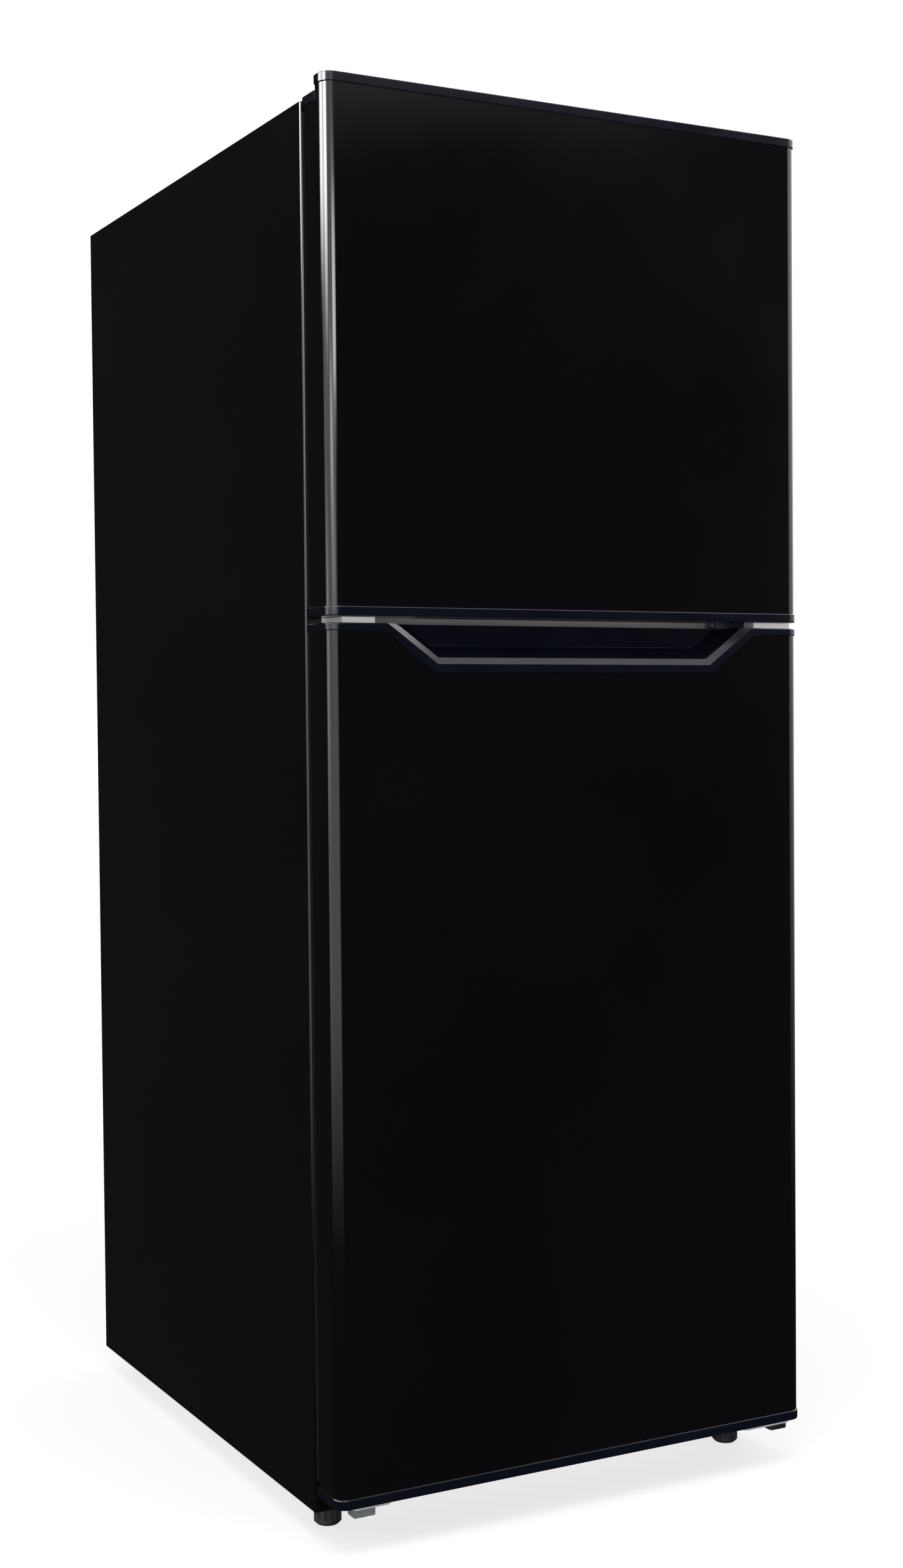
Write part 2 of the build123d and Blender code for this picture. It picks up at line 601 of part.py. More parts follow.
def control_box():
    """Housing under the ceiling for the thermostat, the lamp and the door switch."""
    outer = wide(120, CONTROL_Y, CONTROL_Z)
    outer = fillet(outer.edges().filter_by(Axis.Z), 8)
    hollow = wide(117, (CONTROL_Y[0] + 3, CONTROL_Y[1] - 3), (CONTROL_Z[0] + 3, CONTROL_Z[1] + 1))
    front, floor = CONTROL_Y[0], CONTROL_Z[0]
    lamp_hole = block(LAMP_X, (front - 1, front + LAMP_DEPTH), (floor - 1, floor + LAMP_HEIGHT))
    knob_hole = rod("Y", (KNOB_X, front, KNOB_Z), 12, PLUNGER_RADIUS + PIN_PLAY)
    switch = block((SWITCH_X - 9, SWITCH_X + 9), SWITCH_Y, (SWITCH_Z - 9, FRIDGE_CEILING))
    switch -= rod("Y", (SWITCH_X, sum(SWITCH_Y) / 2, SWITCH_Z), 36, PLUNGER_RADIUS + PIN_PLAY)
    bridge = block((118, SWITCH_X + 9), (SWITCH_Y[1], -190), (930, FRIDGE_CEILING))
    return outer - hollow - lamp_hole - knob_hole + switch + bridge


def lamp_lens():
    """Translucent cover in the control box's corner."""
    play, wall = 0.2, 2.0
    x = (LAMP_X[0] + play, LAMP_X[1] - play)
    y = (CONTROL_Y[0], CONTROL_Y[0] + LAMP_DEPTH - play)
    z = (CONTROL_Z[0], CONTROL_Z[0] + LAMP_HEIGHT - play)
    hollow = block((x[0] + wall, x[1] - wall), (y[0] + wall, y[1] + 1), (z[0] + wall, z[1] + 1))
    return block(x, y, z) - hollow


def thermostat_knob():
    """Round knob with a pointer ridge, on a shaft into the control box."""
    disc = Cylinder(17, 14)
    disc = fillet(disc.edges().group_by(Axis.Z)[-1], 2)
    ridge = Pos(0, 0, 8.5) * Box(6, 28, 5)
    shaft = Pos(0, 0, -13) * Cylinder(PLUNGER_RADIUS, 14)
    return Pos(KNOB_X, CONTROL_Y[0] - 8, KNOB_Z) * Rot(90, 0, 0) * (disc + ridge + shaft)


def door_switch_plunger():
    """Plunger held in by the closed door."""
    tip = DOOR_BACK + DYKE_DEPTH + AIR
    end = SWITCH_Y[1] - 3
    return rod("Y", (SWITCH_X, (tip + end) / 2, SWITCH_Z), end - tip, PLUNGER_RADIUS)


def air_duct_cover():
    """Moulded duct up the back wall, with a pair of outlets at each shelf."""
    outer = wide(70, (FRIDGE_REAR - 14, FRIDGE_REAR), (325, 925))
    outer = fillet(outer.edges().filter_by(Axis.Z).group_by(Axis.Y)[0], 8)
    duct = outer - wide(66, (FRIDGE_REAR - 12, FRIDGE_REAR + 1), (330, 926))
    for z in (400, 600, 820):
        duct -= slots(6, 16, (6, 10, 24), (0, FRIDGE_REAR - 13, z))
    return duct


# ---------------------------------------------------------------- doors
def door_slice(inset, back, z):
    """A slab with the doors' outline seen from above, drawn in by inset, with rounded front corners."""
    front = FRONT + inset
    outline = Pos(0, (front + back) / 2) * Rectangle(WIDTH - 2 * inset, back - front)
    outline = fillet(outline.vertices().group_by(Axis.Y)[0], CORNER - inset)
    return extrude(Pos(0, 0, z[0]) * outline, z[1] - z[0])


FILL_INSET = SKIN_INSET + SKIN + 0.1     # what lies inside the skin
SKIN_BACK = DOOR_BACK - LINER
RIM_DEPTH = 23.5                         # the freezer door's raised top rim
SHOULDER = 1509.5                        # door top behind that rim
SHOULDER_BAND = 9.5


def door_skin(z):
    """Painted steel round the front and both sides, folded in behind."""
    outer = door_slice(SKIN_INSET, SKIN_BACK, z)
    ends = (z[0] - 1, z[1] + 1)
    inner = door_slice(SKIN_INSET + SKIN, SKIN_BACK - SKIN, ends)
    lip = 12.0
    return outer - inner - wide(WIDTH / 2 - SKIN_INSET - lip, (SKIN_BACK - 2, SKIN_BACK + 1), ends)


def softened(slab):
    """A cap's band with its outer rims bevelled."""
    return chamfer(slab.edges().group_by(Axis.Z)[0] + slab.edges().group_by(Axis.Z)[-1], 0.8)


def bush_hole(z):
    """The bore that a hinge pin turns in."""
    return pin(HINGE_X, HINGE_Y, z, PIN_RADIUS + PIN_PLAY)


def dyke_core(half, z):
    """The hollow ring inside a liner's raised ring, which the insulation fills."""
    depth = (SKIN_BACK - SKIN - 0.1, DOOR_BACK + DYKE_DEPTH - LINER)
    ring = wide(half - LINER, depth, (z[0] + LINER, z[1] - LINER))
    inside = DYKE_WIDTH - LINER
    return ring - wide(half - inside, (FRONT, BACK), (z[0] + inside, z[1] - inside))


def door_liner(plate_z, half, z, bin_floors):
    """Moulded inner panel with a raised ring and ribs that carry the bins."""
    panel = wide(WIDTH / 2 - 3, (SKIN_BACK, DOOR_BACK), plate_z)
    ring = wide(half, (SKIN_BACK, DOOR_BACK + DYKE_DEPTH), z)
    ring = fillet(ring.edges().filter_by(Axis.Y), 12)
    tray = wide(half - DYKE_WIDTH, (DOOR_BACK, BACK), (z[0] + DYKE_WIDTH, z[1] - DYKE_WIDTH))
    body = panel + ring - tray - dyke_core(half, z)
    side = half - DYKE_WIDTH
    for floor in bin_floors:
        body += both_sides(block((side - 8, side), (DOOR_BACK, DOOR_BACK + 36), (floor - 5, floor)))
    return body


def gasket(z):
    """Magnetic seal: a square ring that meets the cabinet's face."""
    half = HINGE_X - 0.5
    depth = (DOOR_BACK, FACE - 0.2)
    width = 14.0
    ring = wide(half, depth, z)
    return ring - wide(half - width, (FRONT, BACK), (z[0] + width, z[1] - width))


def door_bin(half, floor, height):
    """Open bin between the ring's two sides, with a low bead along its inner edge."""
    bin_half = half - DYKE_WIDTH - 1.5
    y = (DOOR_BACK + AIR, BIN_REAR)
    body = tub((-bin_half, bin_half), y, (floor, floor + height), 2.2, 10)
    bead = wide(bin_half - 12, (BIN_REAR - 1.2, BIN_REAR + 2), (floor + height - 7, floor + height - 2))
    return body + bead


FREEZER_DYKE = (FREEZER_HALF - 7, (FREEZER_FLOOR + 8, FREEZER_CEILING - 8))
FRIDGE_DYKE = (FRIDGE_HALF - 7, (FRIDGE_FLOOR + 8, FRIDGE_CEILING - 8))
FREEZER_BINS = {"lower": (1062.0, 90.0), "upper": (1262.0, 90.0)}
FRIDGE_BINS = {"lower": (145.0, 120.0), "middle": (420.0, 100.0), "upper": (660.0, 100.0)}


def freezer_door_skin():
    top = HEIGHT - CAP_BAND
    skin = door_skin((FREEZER_DOOR[0] + CAP_BAND, top))
    return skin - wide(WIDTH, (FRONT + RIM_DEPTH, BACK), (SHOULDER - SHOULDER_BAND, top + 1))


def freezer_door_top_cap():
    """End cap with a raised rim along the front that hides the hinge arm behind it."""
    behind = wide(WIDTH, (FRONT + RIM_DEPTH, BACK), (0, HEIGHT + 1))
    shoulder_z = (SHOULDER - SHOULDER_BAND, SHOULDER)
    rim = softened(door_slice(0, DOOR_BACK, (HEIGHT - CAP_BAND, HEIGHT))) - behind
    plug = door_slice(FILL_INSET, DOOR_BACK, (shoulder_z[0], HEIGHT - CAP_BAND)) - behind
    shoulder = door_slice(0, DOOR_BACK, shoulder_z) & behind
    return rim + plug + shoulder - bush_hole((1400, HEIGHT - 5))


def freezer_door_bottom_cap():
    """End cap with a shallow finger groove in its underside."""
    low = FREEZER_DOOR[0]
    band = softened(door_slice(0, DOOR_BACK, (low, low + CAP_BAND)))
    plug = door_slice(FILL_INSET, SKIN_BACK - 1, (low + CAP_BAND, low + CAP_BAND + CAP_PLUG))
    groove = wide(190, (FRONT + 10, FRONT + 34), (low - 1, low + 6))
    groove = fillet(groove.edges().filter_by(Axis.Z), 10)
    return band + plug - groove - bush_hole((low - 1, low + 15))


def door_foam(z, half, dyke, holes):
    """Insulation between a door's skin and its liner."""
    slab = door_slice(FILL_INSET, SKIN_BACK - SKIN - 0.1, z)
    return slab + dyke_core(half, dyke) - holes


def freezer_door_foam():
    z = (FREEZER_DOOR[0] + CAP_BAND + CAP_PLUG, SHOULDER - SHOULDER_BAND)
    return door_foam(z, *FREEZER_DYKE, [pin(HINGE_X, HINGE_Y, (z[1] - 10, z[1]), PIN_RADIUS + 1)])


# the handle: a trapezoid pocket in the refrigerator door's top edge
TRIM_LOW = 917.0
TRIM_HALF = 175.0
TRIM_RUN, TRIM_RISE = 60.0, 43.0
TRIM_WIDTH = 9.0
LIP_BEVEL, BEVEL_DEPTH = 7.0, 4.0
LIP_BACK = 7.0           # the lip's rear, from the door's front
HOLD_BACK = 14.0         # the same for the finger hold behind the lip
HOLD_DROP = 5.0          # how far the finger hold reaches below the lip's edge
SCOOP_RISE = 18.0        # how far the scoop slopes in, from the hold to the back wall
POCKET_DEPTH = 28.0
POCKET_WALL = 2.5


def pocket_prism(inset, y, low=None):
    """The pocket's outline, drawn in by inset, as a prism that runs out through the door's top."""
    low = TRIM_LOW + inset if low is None else low
    high = FRIDGE_DOOR[1] + 20
    slope = atan2(TRIM_RISE, TRIM_RUN)

    def half(z):
        return TRIM_HALF + (z - TRIM_LOW) / tan(slope) - inset / sin(slope)

    corners = [(-half(low), low), (half(low), low), (half(high), high), (-half(high), high)]
    outline = Polygon(*corners, align=None)
    front, back = y
    return extrude(Plane((0, back, 0), x_dir=(1, 0, 0), z_dir=(0, -1, 0)) * outline, back - front)


def pocket_taper(insets, y):
    """Goes from the outline drawn in by one inset to the outline drawn in by the other."""
    slabs = [pocket_prism(inset, (at - 1, at)) for inset, at in zip(insets, y)]
    return loft([slab.faces().sort_by(Axis.Y)[-1] for slab in slabs])


def handle_pocket():
    """A bevelled mouth, a finger hold behind the lip, and a scoop that slopes in to the back wall."""
    bevel_back, lip_back = FRONT + BEVEL_DEPTH, FRONT + LIP_BACK
    hold_back, back = FRONT + HOLD_BACK, FRONT + POCKET_DEPTH
    lip = TRIM_WIDTH + LIP_BEVEL
    behind = lip - HOLD_DROP
    mouth = pocket_taper((TRIM_WIDTH, lip), (FRONT, bevel_back)) + pocket_prism(lip, (bevel_back, lip_back))
    hold = pocket_prism(behind, (lip_back, hold_back))
    scoop = pocket_taper((behind, behind + SCOOP_RISE), (hold_back, back))
    return mouth + hold + scoop


def handle_housing(grow=0.0):
    """What of the moulding passes through the skin and into the insulation."""
    return pocket_prism(3 - grow, (FRONT, FRONT + POCKET_DEPTH + POCKET_WALL + grow))


def fridge_door_handle_cap():
    """Top end cap, handle trim and pocket in one moulding."""
    low, high = FRIDGE_DOOR[1] - HANDLE_BAND, FRIDGE_DOOR[1]
    band = softened(door_slice(0, DOOR_BACK, (low, high)))
    plug = door_slice(FILL_INSET, SKIN_BACK - 1, (low - CAP_PLUG, low))
    below_top = wide(WIDTH, (FRONT, BACK), (0, high))
    trim = pocket_prism(0, (FRONT, FRONT + SKIN_INSET)) & below_top
    trim = chamfer(trim.faces().sort_by(Axis.Y)[0].edges().sort_by(Axis.Z)[:3], 0.8)
    housing = handle_housing() & below_top
    return band + plug + trim + housing - handle_pocket() - bush_hole((high - 17, high + 1))


def fridge_door_skin():
    z = (FRIDGE_DOOR[0] + CAP_BAND + 1, FRIDGE_DOOR[1] - HANDLE_BAND)
    return door_skin(z) - handle_housing(0.1)


def fridge_door_bottom_cap():
    low = FRIDGE_DOOR[0]
    band = softened(door_slice(0, DOOR_BACK, (low, low + CAP_BAND + 1)))
    plug = door_slice(FILL_INSET, SKIN_BACK - 1, (low + CAP_BAND + 1, low + CAP_BAND + 1 + CAP_PLUG))
    return band + plug - bush_hole((low - 1, low + 17))


def fridge_door_foam():
    z = (FRIDGE_DOOR[0] + CAP_BAND + 1 + CAP_PLUG, FRIDGE_DOOR[1] - HANDLE_BAND - CAP_PLUG)
    way = pin(HINGE_X, HINGE_Y, (z[1] - 10, z[1]), PIN_RADIUS + 1)
    return door_foam(z, *FRIDGE_DYKE, [handle_housing(0.1), way])


# ---------------------------------------------------------------- assembly
def build():
    """Every node's name and shape."""
    freezer, fridge, pan = freezer_liner(), fridge_liner(), base_pan()
    wrap, rail, mullion = cabinet_wrap(), front_bottom_rail(), mullion_bar()
    nodes = {
        "cabinet_wrap": wrap,
        "back_panel": back_panel(),
        "base_pan": pan,
        "front_bottom_rail": rail,
        "mullion_bar": mullion,
        "freezer_liner": freezer,
        "fridge_liner": fridge,
        "cabinet_foam": cabinet_foam(wrap, freezer, fridge, pan, rail, mullion),
        "top_hinge": top_hinge(),
        "top_hinge_cover": top_hinge_cover(),
        "centre_hinge": centre_hinge(),
        "centre_hinge_cover": centre_hinge_cover(),
        "unused_hinge_filler": unused_hinge_filler(),
        "bottom_hinge": bottom_hinge(),
        "bottom_hinge_boss": bottom_hinge_boss(),
        "left_stop_bracket": left_stop_bracket(),
        "left_stop_block": left_stop_block(),
        "hinge_screws": hinge_screws(),
        "compressor_base": compressor_base(),
        "compressor": compressor(),
        "compressor_grommets": compressor_grommets(),
        "evaporation_pan": evaporation_pan(),
        "refrigerant_pipes": refrigerant_pipes(),
        "rear_cover": rear_cover(),
        "mains_inlet_gland": mains_inlet_gland(),
        "evaporator": evaporator(),
        "evaporator_cover": evaporator_cover(),
        "airflow_slider": airflow_slider(),
        "fan_motor": fan_motor(),
        "evaporator_fan": evaporator_fan(),
        "freezer_shelf": freezer_shelf(),
        "shelf_glasses": shelf_glasses(),
        "shelf_trims": shelf_trims(),
        "crisper_drawer": crisper_drawer(),
        "control_box": control_box(),
        "lamp_lens": lamp_lens(),
        "thermostat_knob": thermostat_knob(),
        "door_switch_plunger": door_switch_plunger(),
        "air_duct_cover": air_duct_cover(),
        "freezer_door_skin": freezer_door_skin(),
        "freezer_door_top_cap": freezer_door_top_cap(),
        "freezer_door_bottom_cap": freezer_door_bottom_cap(),
        "freezer_door_foam": freezer_door_foam(),
        "freezer_door_liner": door_liner(
            (FREEZER_DOOR[0] + CAP_BAND, SHOULDER - SHOULDER_BAND), *FREEZER_DYKE,
            [floor for floor, height in FREEZER_BINS.values()],
        ),
        "freezer_door_gasket": gasket((984, 1497)),
        "fridge_door_skin": fridge_door_skin(),
        "fridge_door_handle_cap": fridge_door_handle_cap(),
        "fridge_door_bottom_cap": fridge_door_bottom_cap(),
        "fridge_door_foam": fridge_door_foam(),
        "fridge_door_liner": door_liner(
            (FRIDGE_DOOR[0] + CAP_BAND + 1, FRIDGE_DOOR[1] - HANDLE_BAND), *FRIDGE_DYKE,
            [floor for floor, height in FRIDGE_BINS.values()],
        ),
        "fridge_door_gasket": gasket((60, 959)),
    }
    for place, (floor, height) in FREEZER_BINS.items():
        nodes[f"freezer_door_bin_{place}"] = door_bin(FREEZER_DYKE[0], floor, height)
    for place, (floor, height) in FRIDGE_BINS.items():
        nodes[f"fridge_door_bin_{place}"] = door_bin(FRIDGE_DYKE[0], floor, height)
    for name, side in (("left", -1), ("right", 1)):
        nodes[f"front_foot_{name}"] = front_foot(side)
        nodes[f"rear_roller_{name}"] = rear_roller(side)
    return nodes


os.makedirs("parts", exist_ok=True)
for node, shape in build().items():
    export_step(shape, f"parts/{node}.step")
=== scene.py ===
"""The looks of a top freezer refrigerator: finishes, finer pieces, light and camera."""
import json
from math import cos, radians, sin

import bmesh
import bpy
from mathutils import Matrix, Vector


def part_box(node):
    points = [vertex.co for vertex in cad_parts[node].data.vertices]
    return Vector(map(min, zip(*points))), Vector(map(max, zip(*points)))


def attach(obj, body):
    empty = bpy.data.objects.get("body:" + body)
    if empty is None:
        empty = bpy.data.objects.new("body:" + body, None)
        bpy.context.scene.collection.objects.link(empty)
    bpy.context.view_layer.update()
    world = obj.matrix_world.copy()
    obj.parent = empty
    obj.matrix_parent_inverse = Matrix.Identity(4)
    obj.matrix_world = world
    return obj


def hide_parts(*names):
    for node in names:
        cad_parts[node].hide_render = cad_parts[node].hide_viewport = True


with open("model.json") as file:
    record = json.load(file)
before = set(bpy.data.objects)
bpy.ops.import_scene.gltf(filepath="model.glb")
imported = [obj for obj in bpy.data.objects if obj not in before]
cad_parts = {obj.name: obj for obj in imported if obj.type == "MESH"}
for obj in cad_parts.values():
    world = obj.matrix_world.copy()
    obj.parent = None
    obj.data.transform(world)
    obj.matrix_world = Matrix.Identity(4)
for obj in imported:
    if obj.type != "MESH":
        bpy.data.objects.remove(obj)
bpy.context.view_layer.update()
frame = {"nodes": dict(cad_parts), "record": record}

NODES = frame["nodes"]


# ---------------------------------------------------------------- camera
CAMERA_PLACE = (-1.1945, -2.3156, 0.8718)
CAMERA_AZIMUTH, CAMERA_DOWN, CAMERA_ROLL = radians(28.047), radians(1.862), radians(-0.508)
SENSOR_WIDTH, LENS = 36.0, 48.21
VIEW_END = 200.0


def make_camera():
    """A long view of the left front corner, looking very slightly down."""
    data = bpy.data.cameras.new("camera")
    data.sensor_width, data.lens, data.clip_end = SENSOR_WIDTH, LENS, VIEW_END
    level = cos(CAMERA_DOWN)
    ahead = Vector((sin(CAMERA_AZIMUTH) * level, cos(CAMERA_AZIMUTH) * level, -sin(CAMERA_DOWN)))
    side = Vector((cos(CAMERA_AZIMUTH), -sin(CAMERA_AZIMUTH), 0))
    up = side.cross(ahead)
    right = side * cos(CAMERA_ROLL) + up * sin(CAMERA_ROLL)
    top = up * cos(CAMERA_ROLL) - side * sin(CAMERA_ROLL)
    turn = Matrix((right, top, -ahead)).transposed().to_4x4()
    camera = bpy.data.objects.new("camera", data)
    camera.matrix_world = Matrix.Translation(CAMERA_PLACE) @ turn
    bpy.context.scene.collection.objects.link(camera)
    bpy.context.scene.camera = camera


# ---------------------------------------------------------------- node helpers
def node(tree, kind, inputs=None, **settings):
    """A shader node: settings are its properties, and an input is a value or another node's output."""
    made = tree.nodes.new("ShaderNode" + kind)
    for key, value in settings.items():
        setattr(made, key, value)
    for key, value in (inputs or {}).items():
        if isinstance(value, bpy.types.NodeSocket):
            tree.links.new(value, made.inputs[key])
        else:
            made.inputs[key].default_value = value
    return made


def maths(tree, operation, first, second=0.0):
    return node(tree, "Math", {0: first, 1: second}, operation=operation).outputs[0]


def span(tree, value, low, high, out_low=0.0, out_high=1.0):
    """Goes smoothly from out_low to out_high as value goes from low to high."""
    inputs = {"Value": value, "From Min": low, "From Max": high, "To Min": out_low, "To Max": out_high}
    return node(tree, "MapRange", inputs, interpolation_type="SMOOTHSTEP").outputs["Result"]


def blend_colours(tree, factor, first, second):
    mix = node(tree, "Mix", data_type="RGBA")
    for socket, value in ((mix.inputs[0], factor), (mix.inputs[6], first), (mix.inputs[7], second)):
        if isinstance(value, bpy.types.NodeSocket):
            tree.links.new(value, socket)
        else:
            socket.default_value = value if socket.type == "VALUE" else (*value, 1.0)
    return mix.outputs[2]


# ---------------------------------------------------------------- piece helpers
def add_piece(name, shape, material):
    """An object in the scene from a finished bmesh, in one material."""
    mesh = bpy.data.meshes.new(name)
    shape.to_mesh(mesh)
    shape.free()
    mesh.materials.append(material)
    piece = bpy.data.objects.new(name, mesh)
    bpy.context.scene.collection.objects.link(piece)
    return piece


def soften(piece, width, segments, angle=radians(30)):
    """Rounds the edges that turn by more than this angle."""
    bevel = piece.modifiers.new("soften", "BEVEL")
    bevel.width, bevel.segments, bevel.angle_limit = width, segments, angle


# ---------------------------------------------------------------- light and floor
# What polished surfaces mirror: soft panels, given in degrees by azimuth from the front towards the left,
# and by the elevations between which each fades in, and fades out again.
OVERHEAD = (90, 91)
PANELS = [
    # azimuths      soft  fades in   fades out   strength
    ((8, 122), 8, (-15, -6), (35, 50), 1.4),
    ((62, 142), 10, (11, 15), (22, 30), 10.0),
    ((66, 92), 8, (9, 14), (22, 30), 12.0),
    ((108, 130), 8, (11, 14), (22, 30), 6.0),
    ((-4, 24), 10, (8, 10), (12, 15), 11.0),
    ((32, 57), 10, (5, 7), (8, 11), 6.0),
    ((20, 56), 8, (2, 4), (5, 7), 2.0),
    ((88, 112), 8, (-4, 1), (3, 7), 2.0),
    ((-60, 4), 14, (15, 18), (35, 50), 0.6),
    ((-150, -41), 2, (-15, 13), (35, 50), 1.9),
    ((-150, -60), 20, (20, 28), (38, 48), 2.0),
    ((-181, -26), 10, (35, 50), OVERHEAD, 1.4),
    ((-26, 34), 10, (35, 58), OVERHEAD, 0.35),
    ((34, 181), 10, (35, 50), OVERHEAD, 1.4),
]
ROOM = 0.02              # what they mirror elsewhere
AMBIENT = 0.95           # light on matt surfaces
FLOOR_REACH = 60.0
GLOW_NEAR, GLOW_FAR = 0.6, 2.4       # distances between which the floor turns into plain white light
GLOW_LEAST = 0.72


def make_world():
    """White behind the object, even light on matt surfaces, and dark with soft panels for polished ones."""
    world = bpy.data.worlds.new("studio")
    bpy.context.scene.world = world
    world.use_nodes = True
    world.cycles.sampling_method = "NONE"
    tree = world.node_tree
    tree.nodes.clear()
    way = node(tree, "SeparateXYZ", {0: node(tree, "TexCoord").outputs["Generated"]}).outputs
    left, front = maths(tree, "MULTIPLY", way["X"], -1.0), maths(tree, "MULTIPLY", way["Y"], -1.0)
    azimuth = maths(tree, "DEGREES", maths(tree, "ARCTAN2", left, front))
    elevation = maths(tree, "DEGREES", maths(tree, "ARCSINE", way["Z"]))
    total = ROOM
    for (start, end), soft, fade_in, fade_out, strength in PANELS:
        amount = strength
        for part in (
            span(tree, azimuth, start - soft / 2, start + soft / 2),
            span(tree, azimuth, end - soft / 2, end + soft / 2, 1.0, 0.0),
            span(tree, elevation, *fade_in),
            span(tree, elevation, *fade_out, 1.0, 0.0),
        ):
            amount = maths(tree, "MULTIPLY", part, amount)
        total = maths(tree, "ADD", amount, total)
    panels = node(tree, "VectorMath", {0: (1.0, 0.98, 1.0), "Scale": total}, operation="SCALE").outputs[0]
    path = node(tree, "LightPath").outputs
    matt = maths(tree, "MAXIMUM", path["Is Diffuse Ray"], path["Is Transmission Ray"])
    lit = blend_colours(tree, matt, panels, (AMBIENT, AMBIENT, AMBIENT))
    shown = blend_colours(tree, path["Is Camera Ray"], lit, (1.0, 1.0, 1.0))
    background = node(tree, "Background", {"Color": shown})
    tree.links.new(background.outputs[0], node(tree, "OutputWorld").inputs["Surface"])


def make_floor():
    """A pale, glowing floor that fades into the white background and that polished surfaces don't mirror."""
    material = bpy.data.materials.new("floor")
    material.use_nodes = True
    tree = material.node_tree
    tree.nodes.clear()
    place = node(tree, "TexCoord").outputs["Object"]
    distance = node(tree, "VectorMath", {0: place}, operation="LENGTH").outputs["Value"]
    mottling = node(tree, "TexNoise", {"Vector": place, "Scale": 3.0, "Detail": 4.0}).outputs["Fac"]
    pale = blend_colours(tree, mottling, (0.90, 0.90, 0.90), (0.94, 0.94, 0.94))
    near = node(tree, "BsdfDiffuse", {"Color": pale})
    far = node(tree, "Emission", {"Color": (1, 1, 1, 1)})
    glow = span(tree, distance, GLOW_NEAR, GLOW_FAR, GLOW_LEAST, 1.0)
    mix = node(tree, "MixShader", {0: glow, 1: near.outputs[0], 2: far.outputs[0]})
    tree.links.new(mix.outputs[0], node(tree, "OutputMaterial").inputs["Surface"])
    shape = bmesh.new()
    bmesh.ops.create_circle(shape, cap_ends=True, radius=FLOOR_REACH, segments=64)
    floor = add_piece("floor", shape, material)
    floor.visible_glossy = False


def make_softbox(name, place, aim, width, height, power, mirrored):
    """A large soft light at a place, turned towards its aim."""
    data = bpy.data.lights.new(name, "AREA")
    data.shape, data.size, data.size_y, data.energy = "RECTANGLE", width, height, power
    softbox = bpy.data.objects.new(name, data)
    softbox.location = place
    softbox.rotation_euler = (Vector(aim) - Vector(place)).to_track_quat("-Z", "Y").to_euler()
    softbox.visible_glossy = mirrored
    bpy.context.scene.collection.objects.link(softbox)


# ---------------------------------------------------------------- finishes
def grain(tree, scale, detail=3.0, stretch=(1.0, 1.0, 1.0), rough=0.55):
    """Noise in the piece's own space, with scale in cells to the metre."""
    place = node(tree, "Mapping", {"Vector": node(tree, "TexCoord").outputs["Object"], "Scale": stretch})
    return node(
        tree, "TexNoise", {"Vector": place.outputs[0], "Scale": scale, "Detail": detail, "Roughness": rough}
    ).outputs["Fac"]


def edges(tree, radius):
    """1 on the outside corners within this radius and 0 on flat faces."""
    rounded = node(tree, "Bevel", {"Radius": radius}, samples=4).outputs[0]
    flat = node(tree, "NewGeometry").outputs["Normal"]
    alike = node(tree, "VectorMath", {0: rounded, 1: flat}, operation="DOT_PRODUCT").outputs["Value"]
    return span(tree, alike, 0.98, 0.80)


EDGE_WEAR_AND_GLINT_RADIUS = 0.0012     # how near an outside corner the finish wears; on the screws this band is a painted glint
DUST_COLOUR, DUST_ROUGHNESS = (0.45, 0.44, 0.42), 0.5


def dusted(tree):
    """1 on what faces up, broken up by noise."""
    up = node(tree, "SeparateXYZ", {0: node(tree, "NewGeometry").outputs["Normal"]}).outputs["Z"]
    return maths(tree, "MULTIPLY", span(tree, up, 0.75, 1.0), span(tree, grain(tree, 40.0), 0.35, 0.75))


def finish(
    name, colour, second, mottle, rough, depth, texture=None, height=None, metallic=0.0,
    stretch=(1.0, 1.0, 1.0), edge_wear_and_glint=None, dust=0.0, shader=None,
):
    """A principled material: two mottled colours, roughness that varies, fine relief, dust, and pale edges:
    wear, and on the screws a painted glint.

    mottle and texture are noise scales to the metre and depth is the relief in metres. A finish has
    either texture or height, which takes the tree and gives another relief than noise. shader sets
    constant sockets of the shader by name.
    """
    material = bpy.data.materials.new(name)
    material.use_nodes = True
    tree = material.node_tree
    bsdf = tree.nodes["Principled BSDF"]
    base = blend_colours(tree, span(tree, grain(tree, mottle, stretch=stretch), 0.3, 0.7), colour, second)
    roughness = span(tree, grain(tree, mottle * 2.7, 5.0, stretch), 0.25, 0.75, *rough)
    # Pale outside edges: wear, and on the screws a painted glint.
    if edge_wear_and_glint is not None:
        broken = span(tree, grain(tree, 220.0), 0.42, 0.62)
        base = blend_colours(tree, maths(tree, "MULTIPLY", edges(tree, EDGE_WEAR_AND_GLINT_RADIUS), broken), base, edge_wear_and_glint)
    if dust:
        amount = maths(tree, "MULTIPLY", dusted(tree), dust)
        base = blend_colours(tree, amount, base, DUST_COLOUR)
        roughness = maths(tree, "ADD", roughness, maths(tree, "MULTIPLY", amount, DUST_ROUGHNESS))
    relief = grain(tree, texture, 4.0, stretch) if height is None else height(tree)
    bump = node(tree, "Bump", {"Height": relief, "Distance": depth, "Strength": 1.0})
    for socket, value in (("Base Color", base), ("Roughness", roughness), ("Normal", bump.outputs[0])):
        tree.links.new(value, bsdf.inputs[socket])
    bsdf.inputs["Metallic"].default_value = metallic
    for socket, value in (shader or {}).items():
        bsdf.inputs[socket].default_value = value
    return material


def cabinet_paint():
    """Gloss black enamel on rolled sheet, with a trace of orange peel and handling haze."""
    return finish(
        "cabinet_paint", (0.0014, 0.0014, 0.0018), (0.0020, 0.0019, 0.0023),
        mottle=3.0, rough=(0.08, 0.13), texture=420.0, depth=0.000003,
        edge_wear_and_glint=(0.010, 0.010, 0.011), dust=0.05, shader={"Coat Weight": 0.1, "Coat Roughness": 0.08},
    )


